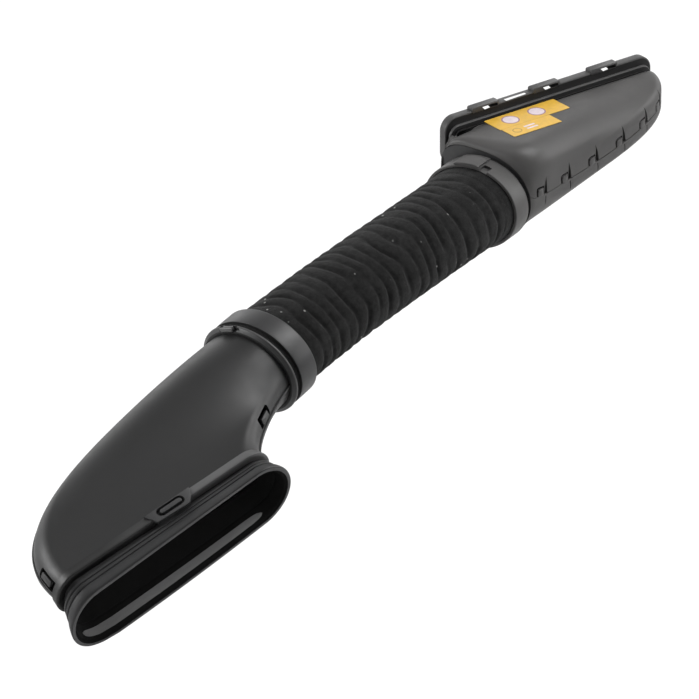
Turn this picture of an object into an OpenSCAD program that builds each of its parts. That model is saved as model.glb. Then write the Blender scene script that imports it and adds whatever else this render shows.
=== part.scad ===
// Air intake pipe: a side-facing outlet mouth with a rubber seal, a two-shell elbow,
// a ribbed fabric hose and a flat two-shell snorkel whose long inlet faces the other side.
// The origin is the centre of the outlet mouth, at the front of its seal. X runs along
// the pipe towards the snorkel and Z is up. All sizes are millimetres.

/* [Outlet mouth] */
// Overall length of the seal's lip
mouth_l = 227; // [205:1:250]
// Overall height of the seal's lip
mouth_h = 62; // [56:1:74]
// Direction that the mouth faces, in plan, clockwise from the pipe's X axis
mouth_turn = 101; // [94:1:108]
// How far the mouth looks down
mouth_drop = 15; // [8:1:22]
// Roll of the mouth's long axis, which rises towards the hose
mouth_roll = 22; // [15:1:28]

/* [Outlet seal] */
// Width of the lip's front face
lip_w = 4.5; // [3.5:0.5:6]
// Depth of the lip from front to back
lip_t = 5; // [3:0.5:7]
// Number of folds behind the lip
fold_n = 3; // [2:1:4]
// Depth from one fold to the next
fold_pitch = 5; // [4:0.5:7]
// How far each groove is sunk below the folds
fold_d = 3; // [2:0.5:3.5]
// Thickness of the rubber at the bottom of a groove
seal_wall = 2.5; // [2.2:0.1:3]

/* [Seal carrier] */
// Overall length of the elbow's end, which the carrier goes round
throat_l = 212; // [196:1:230]
// Overall height of the elbow's end
throat_h = 36; // [32:1:48]
// How far the elbow's end sits above the middle of the lip
throat_up = 13; // [6:1:16]
// How much flatter the elbow's end lies than the lip
throat_roll = 3.5; // [0:0.5:5]
// Depth of the carrier's band
carrier_t = 9; // [7:0.5:11]
// How far the band stands out past the elbow's wall
carrier_proud = 3; // [2:0.5:4]
// How far the latch tab sits from the band's middle
tab_side = 11; // [4:1:18]
// Length of the latch tab
tab_l = 40; // [32:1:56]
// Length of the latch window in the tab
latch_l = 27; // [18:1:30]
// Width of the latch window in the tab
latch_w = 5; // [4:0.5:6]

/* [Elbow] */
// Wall of the two elbow shells
elbow_wall = 2.2; // [1.8:0.1:2.6]
// How far the lower shell's rim stands out at the seam
elbow_rim = 1.4; // [0.8:0.2:2]
// How straight the elbow leaves the hose
elbow_reach = 1.85; // [1.2:0.05:2]
// How straight the elbow runs into the mouth
elbow_sweep = 0.8; // [0.6:0.05:1]
// How fast the elbow widens behind the hose
elbow_flare = 0.05; // [0:0.01:0.16]
// How much tighter the elbow leaves the hose on its short side
elbow_ease = 0.8; // [0.6:0.05:0.9]
// How much tighter it runs into the mouth on its short side
mouth_ease = 0.2; // [0.1:0.05:0.3]
// Length of the snap windows in the upper shell
snap_l = 13; // [10:1:18]
// Height of the snap windows
snap_h = 7; // [5:0.5:9]
// How far the snap windows' middles sit from the seam
snap_side = 5; // [4:0.5:6]

/* [Outlet collar] */
// Position of the hose end of the elbow along X
neck_x = 180; // [172:1:196]
// Position of the hose end of the elbow along Y
neck_y = 72; // [64:1:80]
// Position of the hose end of the elbow along Z
neck_z = 78; // [72:1:86]
// Heading of the hose at the elbow, in plan
neck_turn = 0; // [-6:1:6]
// Rise of the hose at the elbow
neck_rise = 13; // [8:1:18]
// Length of the collar along the hose
collar_l = 27; // [24:1:32]
// Wall of the collar over the hose
collar_wall = 3.2; // [2.4:0.2:4]
// Width of the raised rib at the collar's elbow side
collar_rib_w = 5; // [4:0.5:7]
// How far that rib stands out
collar_rib_h = 0.8; // [0.6:0.2:2]
// Width of the groove beside that rib
collar_groove_w = 4; // [3:0.5:6]
// Depth of that groove
collar_groove_d = 2; // [1:0.2:2]

/* [Hose] */
// Width of the hose over its ribs
hose_w = 86; // [80:1:92]
// Height of the hose over its ribs
hose_h = 72; // [66:1:78]
// Number of ribs
rib_n = 20; // [14:1:22]
// Depth of the grooves between the ribs
rib_d = 2.6; // [2:0.2:3.4]
// Thickness of the fabric wall under the grooves
hose_wall = 1.4; // [1.2:0.2:2.2]
// Length of the plain cuff at the snorkel end of the hose
cuff_l = 14; // [10:1:20]

/* [Inlet collar] */
// Position of the snorkel's hose end along X
inlet_x = 470; // [460:1:484]
// Position of the snorkel's hose end along Y
inlet_y = 73; // [66:1:80]
// Position of the snorkel's hose end along Z
inlet_z = 119; // [112:1:126]
// Heading of the hose at the snorkel, in plan
inlet_turn = 8; // [2:1:12]
// Length of the collar along the hose
band_l = 13; // [11:1:18]
// Wall of the collar over the hose
band_wall = 2.6; // [2:0.2:3.6]
// Length of the raised tab on top of the collar
band_tab_l = 24; // [16:1:30]
// How far the tab stands out
band_tab_h = 3; // [2:0.5:4]

/* [Snorkel] */
// How much wider the snorkel's body is than the hose
body_over = 2; // [0:1:8]
// Height of the snorkel's body behind the collar
body_h = 67; // [60:1:72]
// Height of the snorkel's flat top above the origin
top_z = 164; // [160:1:168]
// Corner radius of the body behind the collar
body_r = 22; // [16:1:27]
// Gap between the collar and the body
body_gap = 4; // [2:0.5:6]
// Share of the body's length over which its front rounds down to the collar
front_round = 0.16; // [0.1:0.02:0.24]
// How straight the snorkel leaves the collar
snorkel_reach = 0.95; // [0.8:0.05:1.1]
// How straight the snorkel runs into its inlet
snorkel_sweep = 0.9; // [0.6:0.05:1]
// Wall of the two snorkel shells
snorkel_wall = 2.2; // [1.8:0.1:2.6]
// Number of clips along the snorkel's seam
clip_n = 6; // [4:1:7]
// Length of a clip's tongue
clip_l = 7; // [5:0.5:9]
// Height of a clip's tongue
clip_h = 5.5; // [4:0.5:7]

/* [Inlet frame] */
// Position of the middle of the inlet along X
frame_x = 598.3; // [592:0.1:608]
// Position of the middle of the inlet along Y
frame_y = 99.6; // [96:0.1:108]
// Direction that the inlet faces, in plan
frame_turn = 76; // [70:0.5:80]
// Overall length of the inlet frame
frame_l = 214; // [200:1:226]
// Overall height of the inlet frame
frame_h = 42; // [38:1:46]
// Corner radius of the inlet frame
frame_r = 12; // [9:1:15]
// Depth of the inlet frame
frame_t = 13; // [12:0.5:18]
// How far the frame stands above the snorkel's flat top
frame_up = 8; // [6:1:10]
// How far the frame stands out at its sides and bottom
frame_proud = 4; // [3:0.5:6]
// Depth of the frame's front band
front_t = 6; // [5:0.5:7]
// Width of the ridge behind the front band
ridge_w = 2.5; // [1.5:0.5:3]
// How far that ridge stands out from the frame's sleeve
ridge_h = 2; // [1:0.5:3]
// Wall of the frame round the opening
frame_wall = 3; // [2.5:0.5:4]
// Length of each hook on top of the frame
hook_l = 28; // [20:1:32]
// How far each hook stands out
hook_h = 3; // [2:0.5:4]

/* [Labels] */
// How far the labels' middle sits from the inlet's middle, towards the hose
label_side = 37.1; // [30:0.1:44]
// How far the labels' middle sits behind the inlet's front
label_back = 26.4; // [24:0.1:32]
// Length of the long label
label_l = 72; // [60:1:76]
// Width of the long label
label_w = 22; // [18:1:24]
// Length of the short label
short_l = 49; // [40:1:56]
// Width of the short label
short_w = 17; // [14:1:18]
// Thickness of the labels
label_t = 0.3; // [0.2:0.1:0.5]

/* [Hidden] */
$fn = 48;

// Clearance between pieces that slip over each other
fit = 0.2;
// Half the gap between the two halves of a spigot, and how far a spigot sits inside its shell
seam_gap = 0.4;
spigot_in = 0.3;
// Half the number of points round a lofted shell
half_n = 24;
// Number of steps along a lofted shell
along_n = 14;

// Directions and frames. A frame is a list of its origin and its x, y and z directions
function unit(v) = v / norm(v);
function heading(turn, rise) = [cos(rise) * cos(turn), cos(rise) * sin(turn), sin(rise)];
function left_of(turn) = [-sin(turn), cos(turn), 0];
function frame_of(origin, x, z) = [origin, x, cross(z, x), z];
function place(f, p) = f[0] + f[1] * p[0] + f[2] * p[1] + f[3] * p[2];
module in_frame(f)
    multmatrix([[f[1][0], f[2][0], f[3][0], f[0][0]],
                [f[1][1], f[2][1], f[3][1], f[0][1]],
                [f[1][2], f[2][2], f[3][2], f[0][2]],
                [0, 0, 0, 1]])
        children();

mouth_n = heading(-mouth_turn, -mouth_drop);
mouth_side = left_of(-mouth_turn);
mouth_x = mouth_side * cos(mouth_roll) + cross(mouth_n, mouth_side) * sin(mouth_roll);
mouth = frame_of([0, 0, 0], mouth_x, mouth_n);
// Frame of the seal's section a share k of the way from the lip to the elbow's end
function throat_at(k) =
    frame_of(place(mouth, [0, throat_up * k, 0]),
             mouth_x * cos(throat_roll * k) + cross(mouth_n, mouth_x) * sin(-throat_roll * k), mouth_n);
throat = throat_at(1);

neck_dir = heading(neck_turn, neck_rise);
neck = frame_of([neck_x, neck_y, neck_z], left_of(neck_turn), neck_dir);

inlet_dir = heading(inlet_turn, 0);
inlet = frame_of([inlet_x, inlet_y, inlet_z], left_of(inlet_turn), inlet_dir);

frame_n = heading(frame_turn, 0);
frame_z = top_z + frame_up - frame_h / 2;
front = frame_of([frame_x, frame_y, frame_z], left_of(frame_turn), frame_n);

// Outlines. u is the share of the outline from the middle of its right end, upwards first
function oval(w, h, u) = [w / 2 * cos(360 * u), h / 2 * sin(360 * u)];
function round_rect_quarter(l, h, r, d) =
    let (sx = l / 2 - r, sy = h / 2 - r, turn = (d - sy) / r * 180 / PI)
    d < sy ? [l / 2, d]
    : turn < 90 ? [sx + r * cos(turn), sy + r * sin(turn)]
    : [sx - (d - sy - PI * r / 2), h / 2];
function round_rect(l, h, r, u) =
    let (q = floor(4 * u) % 4,
         f = 4 * u - floor(4 * u),
         quarter = l / 2 + h / 2 - 2 * r + PI * r / 2,
         p = round_rect_quarter(l, h, r, quarter * (q % 2 == 0 ? f : 1 - f)))
    [(q == 1 || q == 2 ? -1 : 1) * p[0], (q > 1 ? -1 : 1) * p[1]];

// Smooth bend from p0, leaving along m0, to p1, arriving along m1
function bend(p0, m0, p1, m1, s) =
    (2 * s ^ 3 - 3 * s ^ 2 + 1) * p0 + (s ^ 3 - 2 * s ^ 2 + s) * m0
    + (3 * s ^ 2 - 2 * s ^ 3) * p1 + (s ^ 3 - s ^ 2) * m1;

// Elbow surface, from the neck at s = 0 to the mouth at s = 1
neck_w = hose_w - 4;
neck_h = hose_h - 4;
seal_t = lip_t + fold_n * fold_pitch;
elbow_end = -seal_t - carrier_t / 2;
elbow_surface = function (u, s)
    let (a = oval(neck_w, neck_h, u),
         b = round_rect(throat_l, throat_h, throat_h / 2 - 0.01, u),
         p0 = place(neck, [-a[0], a[1], 0]),
         p1 = place(throat, [b[0], b[1], elbow_end]),
         d = norm(p1 - p0),
         inner = cos(180 * u) ^ 2,
         out = unit(p0 - neck[0]))
    bend(p0, (out * elbow_flare - neck_dir) * d * elbow_reach * (1 - elbow_ease * inner),
         p1, mouth_n * d * elbow_sweep * (1 - mouth_ease * inner), s);

// Snorkel surface, from behind the inlet collar at s = 0 to the inlet frame at s = 1
body_w = hose_w + body_over;
body_start = band_l + body_gap;
body_side = body_w / 2 - neck_w / 2 + fit;
body_up = top_z - inlet_z - body_h / 2;
body_end_l = frame_l - 2 * frame_proud;
body_end_h = frame_h - frame_up - frame_proud;
body_end_up = top_z - body_end_h / 2 - frame_z;
// The seam runs this share of the outline below the middle, and rises by the lift on the outer side
seam_share = 0.03;
seam_lift = 0.045;
// The round front starts nearly as an oval, turned by this share so that its seam meets the
// body's. On the short side towards the inlet it keeps the body's outline.
oval_turn = 0.06;
oval_w = neck_w + 6;
oval_h = neck_h + 6;
function body_outline(u) = round_rect(body_w, body_h, body_r, u) + [body_side, body_up];
function front_step(u) =
    (oval(oval_w, oval_h, u + oval_turn * cos(360 * u)) - body_outline(u)) * cos(180 * u) ^ 2;
function front_share(s) = 1 - sqrt(1 - (1 - min(s / front_round, 1)) ^ 2);
snorkel_surface = function (u, s)
    let (a = body_outline(u) + front_step(u) * front_share(s),
         b = round_rect(body_end_l, body_end_h, frame_r - frame_proud, (u + seam_lift * cos(180 * u) ^ 2 + 1) % 1),
         p0 = place(inlet, [-a[0], a[1], body_start]),
         p1 = place(front, [-b[0], b[1] + body_end_up, -frame_t - fit]),
         d = norm(p1 - p0) * abs(cos(180 * u)))
    bend(p0, inlet_dir * d * snorkel_reach, p1, frame_n * d * snorkel_sweep, s);

// Frame on a lofted surface: x runs along it, y round it and z out of it
function surface_frame(f, u, s, side) =
    let (s0 = max(s - 0.01, 0),
         s1 = min(s + 0.01, 1),
         along = unit(f(u, s1) - f(u, s0)),
         round = f((u + 1.002) % 1, s) - f((u + 0.998) % 1, s),
         out = unit(cross(along, round)) * side)
    frame_of(f(u, s), along, out);

// Curved wall from u0 to u1 of a lofted surface, t thick, with its seam edges raised by rim
module wall(f, u0, u1, t, rim, side) {
    n = half_n;
    w = n + 1;
    m = w * (along_n + 1);
    us = [for (j = [0:n]) (u0 + (u1 - u0) * j / n + 1) % 1];
    frames = [for (i = [0:along_n]) for (j = [0:n]) surface_frame(f, us[j], i / along_n, side)];
    function near_seam(j) = max(0, 1 - min(j, n - j) / 2);
    function off_ends(i) = min(1, i / 4, (along_n - i) / 4);
    outer = [for (i = [0:along_n]) for (j = [0:n])
        frames[i * w + j][0] + frames[i * w + j][3] * rim * near_seam(j) * off_ends(i)];
    inner = [for (k = [0:m - 1]) frames[k][0] - frames[k][3] * t];
    quads = concat(
        [for (i = [0:along_n - 1]) for (j = [0:n - 1]) let (k = i * w + j) [k, k + 1, k + w + 1, k + w]],
        [for (i = [0:along_n - 1]) for (j = [0:n - 1]) let (k = m + i * w + j) [k, k + w, k + w + 1, k + 1]],
        [for (i = [0:along_n - 1]) let (k = i * w) [k, k + w, m + k + w, m + k]],
        [for (i = [0:along_n - 1]) let (k = i * w + n) [k, m + k, m + k + w, k + w]],
        [for (j = [0:n - 1]) [j, m + j, m + j + 1, j + 1]],
        [for (j = [0:n - 1]) let (k = along_n * w + j) [k, k + 1, m + k + 1, m + k]]);
    polyhedron(points = concat(outer, inner),
               faces = [for (q = quads) each side > 0 ? [[q[0], q[1], q[2]], [q[0], q[2], q[3]]]
                                                      : [[q[0], q[2], q[1]], [q[0], q[3], q[2]]]]);
}

module block(x, y, z, at = [0, 0, 0]) translate(at) cube([x, y, z], center = true);
module stadium(l, h) {
    square([l - h, h], center = true);
    for (side = [-1, 1]) translate([side * (l - h) / 2, 0]) circle(d = h);
}
module stadium_ring(l, h, w, z0, z1)
    translate([0, 0, z0]) linear_extrude(z1 - z0) difference() {
        stadium(l, h);
        stadium(l - 2 * w, h - 2 * w);
    }
module oval_2d(w, h) polygon([for (i = [0:59]) oval(w, h, i / 60)]);
module oval_ring(w, h, t, z0, z1)
    translate([0, 0, z0]) linear_extrude(z1 - z0) difference() {
        oval_2d(w, h);
        oval_2d(w - 2 * t, h - 2 * t);
    }
module round_rect_2d(l, h, r) {
    square([l - 2 * r, h], center = true);
    square([l, h - 2 * r], center = true);
    for (x = [-1, 1]) for (y = [-1, 1]) translate([x * (l / 2 - r), y * (h / 2 - r)]) circle(r = r);
}
module round_rect_ring(l, h, r, w, z0, z1)
    translate([0, 0, z0]) linear_extrude(z1 - z0) difference() {
        round_rect_2d(l, h, r);
        round_rect_2d(l - 2 * w, h - 2 * w, max(r - w, 1));
    }
// Keeps the part of its children above or below the plane y = cut
module half(cut, side) intersection() {
    children();
    translate([0, cut + side * mouth_l / 2, 0]) cube(mouth_l, center = true);
}

// Rubber seal: the lip, then folds that narrow towards the carrier
module outlet_seal() color([0.1, 0.1, 0.1]) {
    in_frame(mouth) stadium_ring(mouth_l, mouth_h, lip_w, -lip_t, 0);
    for (i = [0:fold_n - 1]) {
        z = -lip_t - i * fold_pitch;
        k = (i + 0.5) / fold_n;
        l = mouth_l + (throat_l - mouth_l) * k;
        h = mouth_h + (throat_h - mouth_h) * k;
        in_frame(throat_at(k)) {
            stadium_ring(l - 2 * fold_d, h - 2 * fold_d, seal_wall, z - fold_pitch / 2, z + fit);
            stadium_ring(l - 2, h - 2, fold_d + seal_wall - 1, z - fold_pitch, z - fold_pitch / 2 + fit);
        }
    }
}

// Carrier band round the elbow's end, with a latch tab over the seal
tab_at = [tab_side, throat_h / 2 + carrier_proud, -seal_t];
module seal_carrier() color([0.3, 0.3, 0.3]) in_frame(throat) difference() {
    union() {
        stadium_ring(throat_l + 2 * carrier_proud, throat_h + 2 * carrier_proud,
                     carrier_proud - fit, -seal_t - carrier_t, elbow_end);
        stadium_ring(throat_l + 2 * carrier_proud, throat_h + 2 * carrier_proud,
                     carrier_proud + elbow_wall + 2, elbow_end, -seal_t);
        translate(tab_at) block(tab_l, 2.5, carrier_t + 6, [0, 0, -carrier_t / 2 + 3]);
    }
    translate(tab_at) block(latch_l, 3, latch_w, [0, 0.3, -1]);
}

// Elbow shells, with a half spigot each under the collar, and snap windows in the upper one
spigot_l = 8;
snap_at = [[0.5, 0.86], [0, 0.52]];
module elbow_spigot(side) in_frame(neck) half(side * seam_gap, side)
    oval_ring(neck_w - 2 * spigot_in, neck_h - 2 * spigot_in, elbow_wall, -1, spigot_l);
module elbow_snaps()
    for (c = snap_at) in_frame(surface_frame(elbow_surface, c[0], c[1], -1))
        block(snap_l, snap_h, 4 * elbow_wall, [0, (c[0] == 0 ? -1 : 1) * snap_side, -elbow_wall / 2]);
module elbow_upper_shell() color([0.15, 0.15, 0.15]) {
    difference() {
        wall(elbow_surface, 0, 0.5, elbow_wall, 0, -1);
        elbow_snaps();
    }
    elbow_spigot(1);
}
module elbow_lower_shell() color([0.13, 0.13, 0.13]) {
    wall(elbow_surface, 0.5, 1, elbow_wall, elbow_rim, -1);
    elbow_spigot(-1);
}

// Outlet collar: an inner step seats on the elbow, the rest grips the hose
collar_w = hose_w + 2 * (fit + collar_wall);
collar_h = hose_h + 2 * (fit + collar_wall);
module outlet_collar() color([0.12, 0.12, 0.12]) in_frame(neck) difference() {
    union() {
        oval_ring(collar_w + 2 * collar_rib_h, collar_h + 2 * collar_rib_h,
                  (collar_w - neck_w) / 2 + collar_rib_h - fit, 0, collar_rib_w);
        oval_ring(collar_w - 2 * collar_groove_d, collar_h - 2 * collar_groove_d,
                  (collar_w - neck_w) / 2 - collar_groove_d - fit, collar_rib_w, spigot_l);
        oval_ring(collar_w - 2 * collar_groove_d, collar_h - 2 * collar_groove_d,
                  collar_wall - collar_groove_d, spigot_l, collar_rib_w + collar_groove_w);
        oval_ring(collar_w, collar_h, collar_wall, collar_rib_w + collar_groove_w, collar_l);
    }
    translate([collar_w / 4, collar_h * 0.43, collar_rib_w / 2]) rotate([0, 0, -28]) block(16, 3, 2.5, [0, 2, 0]);
}

// Hose: a bend between the two collars, with ribs and a plain cuff at the snorkel end
hose_start = spigot_l + fit;
hose_end = 4;
hose_a = place(neck, [0, 0, hose_start]);
hose_b = place(inlet, [0, 0, hose_end]);
hose_span = norm(hose_b - hose_a);
function hose_mid(s) = bend(hose_a, neck_dir * hose_span, hose_b, inlet_dir * hose_span, s);
function hose_dir(s) = s <= 0 ? neck_dir : s >= 1 ? inlet_dir : unit(hose_mid(s + 0.005) - hose_mid(s - 0.005));
function hose_ring(s, inset, n) =
    let (d = hose_dir(s), x = unit(cross(d, [0, 0, 1])), y = cross(x, d))
    [for (j = [0:n - 1])
        let (p = oval(hose_w - 2 * inset, hose_h - 2 * inset, j / n)) hose_mid(s) + x * p[0] + y * p[1]];
module fabric_hose() {
    n = 36;
    steps_per_rib = 5;
    steps = rib_n * steps_per_rib;
    plain_a = (collar_l - hose_start) / hose_span;
    plain_b = 1 - (cuff_l + hose_end) / hose_span;
    stations = concat([0], [for (i = [0:steps]) plain_a + (plain_b - plain_a) * i / steps], [1]);
    function sunk(i) = i < 1 || i > steps + 1 ? 0 : rib_d * (0.5 - 0.5 * cos(360 * (i - 1) / steps_per_rib)) ^ 0.7;
    outer = [for (i = [0:steps + 2]) hose_ring(stations[i], sunk(i), n)];
    m = 20;
    inner = [for (i = [0:m]) hose_ring(i / m, rib_d + hose_wall, n)];
    b = (steps + 3) * n;
    function quad(i, j) = [i * n + j, i * n + (j + 1) % n, (i + 1) * n + (j + 1) % n, (i + 1) * n + j];
    function flip(q) = [q[0], q[3], q[2], q[1]];
    quads = concat(
        [for (i = [0:steps + 1]) for (j = [0:n - 1]) quad(i, j)],
        [for (i = [0:m - 1]) for (j = [0:n - 1]) flip([for (v = quad(i, j)) v + b])],
        [for (j = [0:n - 1]) [j, b + j, b + (j + 1) % n, (j + 1) % n]],
        [for (j = [0:n - 1]) let (k = (steps + 2) * n, c = b + m * n) [k + j, k + (j + 1) % n, c + (j + 1) % n, c + j]]);
    color([0.08, 0.08, 0.08]) polyhedron(points = [for (r = concat(outer, inner)) each r],
               faces = [for (q = quads) each [[q[0], q[1], q[2]], [q[0], q[2], q[3]]]]);
}

// Inlet collar: grips the hose's cuff and seats on the snorkel's spigot
band_w = hose_w + 2 * (fit + band_wall);
band_h = hose_h + 2 * (fit + band_wall);
module inlet_collar() color([0.25, 0.25, 0.25]) in_frame(inlet) {
    oval_ring(band_w, band_h, band_wall, 0, hose_end + fit);
    oval_ring(band_w, band_h, (band_w - neck_w) / 2 - fit, hose_end + fit, band_l);
    translate([band_w / 5, band_h / 2, 0]) rotate([0, 0, -12])
        block(band_tab_l, band_tab_h + 4, band_l - 3, [0, band_tab_h / 2 - 2.6, band_l / 2 + 1]);
}

// Snorkel shells: the body's wall, its front plate and a spigot in the collar, cut at the seam
function front_outline(u) = body_outline(u) + front_step(u);
front_seam = front_outline(1 - seam_share)[1];
// The front plate sits this share inside the walls
plate_share = 0.985;
module snorkel_neck(side) in_frame(inlet) half(front_seam + side * seam_gap, side) {
    oval_ring(neck_w, neck_h, snorkel_wall, hose_end + 2 * fit, body_start + 1);
    translate([0, 0, body_start + spigot_in]) linear_extrude(snorkel_wall) difference() {
        polygon([for (i = [0:59]) let (p = front_outline(i / 60) * plate_share) [-p[0], p[1]]]);
        intersection() {
            oval_2d(neck_w - 2 * snorkel_wall, neck_h - 2 * snorkel_wall);
            translate([-body_side, body_up])
                round_rect_2d(body_w - 2 * snorkel_wall, body_h - 2 * snorkel_wall, body_r - snorkel_wall);
        }
    }
}
// Place of the first clip along the shells, and the step from one clip to the next
clip_start = 0.06;
clip_step = 0.138;
function clip_s(i) = clip_start + clip_step * i;
module snorkel_clips()
    for (i = [0:clip_n - 1]) in_frame(surface_frame(snorkel_surface, 1 - seam_share, clip_s(i), 1)) children();
module snorkel_upper_shell() color([0.27, 0.27, 0.27]) {
    difference() {
        wall(snorkel_surface, -seam_share, 0.5 + seam_share, snorkel_wall, 0, 1);
        snorkel_clips() {
            block(clip_l + 2, clip_h + 4, 8, [0, clip_h / 2 - 1, 0]);
            block(1.6, 15, 8, [clip_l / 2 + 2, 4.5, 0]);
        }
    }
    snorkel_neck(1);
}
module snorkel_lower_shell() color([0.24, 0.24, 0.24]) {
    wall(snorkel_surface, 0.5 + seam_share, 1 - seam_share, snorkel_wall, 0, 1);
    snorkel_neck(-1);
    snorkel_clips() block(clip_l, clip_h + 2, snorkel_wall, [0, clip_h / 2 - 1, -snorkel_wall / 2]);
}

// Inlet frame: front band, hooks on top, and a ridge on the sleeve that meets the body
hook_at = [65, 2, -58];
ridge_z = -(front_t + frame_t) / 2;
module inlet_frame() color([0.2, 0.2, 0.2]) in_frame(front) difference() {
    union() {
        round_rect_ring(frame_l, frame_h, frame_r, frame_wall + frame_proud, -front_t, 0);
        translate([0, body_end_up, 0]) {
            round_rect_ring(body_end_l, body_end_h, frame_r - frame_proud, frame_wall, -frame_t, -front_t);
            round_rect_ring(body_end_l + 2 * ridge_h, body_end_h + 2 * ridge_h, frame_r - frame_proud + ridge_h,
                            frame_wall + ridge_h, ridge_z - ridge_w / 2, ridge_z + ridge_w / 2);
        }
        for (x = hook_at) block(hook_l, hook_h + 2, front_t + 3, [x, frame_h / 2 + hook_h / 2 - 1, -front_t / 2 - 1.5]);
    }
    for (x = hook_at) block(hook_l / 3, hook_h + 6, 3, [x + 3, frame_h / 2 + 2, -front_t + 0.5]);
}

// Labels on the snorkel's flat top: plain sheets side by side
label_mid = place(front, [label_side, 0, -label_back]);
label_frame = frame_of([label_mid[0], label_mid[1], top_z], -left_of(frame_turn), [0, 0, 1]);
module label_long() color([0.95, 0.72, 0.1]) in_frame(label_frame)
    translate([0, 0, fit / 4]) linear_extrude(label_t) square([label_l, label_w], center = true);
module label_short() color([0.95, 0.72, 0.1]) in_frame(label_frame)
    translate([(short_l - label_l) / 2 + 1, -(label_w + short_w) / 2 - fit, fit / 4])
        linear_extrude(label_t) square([short_l, short_w], center = true);

outlet_seal();
seal_carrier();
elbow_upper_shell();
elbow_lower_shell();
outlet_collar();
fabric_hose();
inlet_collar();
snorkel_upper_shell();
snorkel_lower_shell();
inlet_frame();
label_long();
label_short();
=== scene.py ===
# Air intake pipe: smooth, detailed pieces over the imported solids, with their materials,
# a plain studio and a camera at the photograph's angle. Sizes are in millimetres until
# a mesh is made.
import math

import bmesh
import bpy
from mathutils import Matrix, Vector, noise


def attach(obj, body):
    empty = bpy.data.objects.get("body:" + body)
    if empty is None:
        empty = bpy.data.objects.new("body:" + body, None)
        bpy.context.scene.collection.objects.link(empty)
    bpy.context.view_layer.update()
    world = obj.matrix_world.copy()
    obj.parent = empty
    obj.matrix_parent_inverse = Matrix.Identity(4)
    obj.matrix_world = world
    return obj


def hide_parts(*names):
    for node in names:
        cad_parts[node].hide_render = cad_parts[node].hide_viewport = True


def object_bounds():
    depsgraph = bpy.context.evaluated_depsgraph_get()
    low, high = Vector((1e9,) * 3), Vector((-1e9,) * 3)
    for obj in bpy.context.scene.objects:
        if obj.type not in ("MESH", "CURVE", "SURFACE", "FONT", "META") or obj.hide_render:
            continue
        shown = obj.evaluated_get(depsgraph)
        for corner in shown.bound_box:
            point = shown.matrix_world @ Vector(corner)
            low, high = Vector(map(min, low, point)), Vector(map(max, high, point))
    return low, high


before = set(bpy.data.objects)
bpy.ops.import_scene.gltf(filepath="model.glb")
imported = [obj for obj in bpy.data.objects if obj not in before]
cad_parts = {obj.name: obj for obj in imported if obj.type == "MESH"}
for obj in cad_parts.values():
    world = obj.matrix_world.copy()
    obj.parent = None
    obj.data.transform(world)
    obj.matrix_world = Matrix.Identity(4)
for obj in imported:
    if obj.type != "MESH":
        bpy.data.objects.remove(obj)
cad_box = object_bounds()

MM = 0.001

# Outlet mouth and its seal
MOUTH_L, MOUTH_H = 227.0, 62.0
MOUTH_TURN, MOUTH_DROP, MOUTH_ROLL = 101.0, 15.0, 22.0
LIP_W, LIP_T = 4.5, 5.0
FOLD_N, FOLD_PITCH, FOLD_D, SEAL_WALL = 3, 5.0, 3.0, 2.5
FULL, FULL_TILT, FULL_CURVE = 3.7, 0.012, 0.00027
FULL_FROM, FULL_RISE = -93.0, 22.0
# Pale strip inside the lower lip: a painted highlight
HIGHLIGHT_START, HIGHLIGHT_SPAN, HIGHLIGHT_Z, HIGHLIGHT_HALF, HIGHLIGHT_STEPS = 0.533, 0.392, -4.4, 2.0, 60

# Carrier round the elbow's end
THROAT_L, THROAT_H, THROAT_UP, THROAT_ROLL = 212.0, 36.0, 13.0, 3.5
CARRIER_T, CARRIER_PROUD = 9.0, 3.0
TAB_AT, TAB_L, LATCH_L, LATCH_W = 11.0, 40.0, 27.0, 5.0
BEVEL_FROM, BEVEL_RISE, BEVEL_LEFT = -5.0, 45.0, 1.6

# Elbow
ELBOW_WALL, ELBOW_RIM = 2.2, 1.4
ELBOW_REACH, ELBOW_SWEEP, ELBOW_FLARE = 1.85, 0.8, 0.05
ELBOW_EASE, MOUTH_EASE = 0.8, 0.2
SNAP_H, SNAP_AT = 7.0, ((0.484, 0.93), (0.02, 0.53))
SNAP_WINDOW_L, SNAP_TONGUE_L = 22.0, 14.0

# Hose and its collar on the elbow
NECK_AT, NECK_TURN, NECK_RISE = (180.0, 72.0, 78.0), 0.0, 13.0
COLLAR_L, COLLAR_WALL, COLLAR_BACK = 27.0, 3.2, 4.0
RIB_W, RIB_H, GROOVE_W, GROOVE_D, LATCH_AT = 5.0, 0.8, 5.6, 2.9, 0.195
HOSE_W, HOSE_H = 86.0, 72.0
HOSE_RIBS, RIB_D, HOSE_WALL, CUFF_L = 20, 2.6, 1.4, 14.0
SPIGOT_L, HOSE_END, FIT = 8.0, 4.0, 0.2
HOSE_AROUND, HOSE_STEPS, CUFF_STEPS, BORE_STEPS, HOSE_SLIM = 150, 12, 14, 40, 2.6
RIB_WANDER, RIB_CUT, RIB_WAVE, CREASE, NAP = 0.5, 0.62, 0.2, 0.5, 0.14

# Collar on the snorkel, and the snorkel
INLET_AT, INLET_TURN = (470.0, 73.0, 119.0), 8.0
BAND_L, BAND_WALL, BAND_SLIM = 13.0, 2.6, 5.0
BAND_FRONT, BAND_BACK = -4.5, 2.5
BAND_TAB, BAND_TAB_STEPS, NOTCH_AT = (0.195, 0.278), 24, 0.295
BODY_W, BODY_H, BODY_R, BODY_GAP = 88.0, 67.0, 22.0, 4.0
TOP_Z = 164.0
SNORKEL_REACH, SNORKEL_SWEEP, SNORKEL_WALL = 0.95, 0.9, 2.2
SEAM_SHARE, SEAM_LIFT = 0.03, 0.026
CLIP_N, CLIP_L, CLIP_H = 6, 7.0, 6.1
CLIP_START, CLIP_STEP, WEDGE_SIDE = 0.06, 0.138, 2.4
FRONT_ROUND, OVAL_TURN = 0.16, 0.06
DIP, DIP_REACH = 2.6, 7.0

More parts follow.
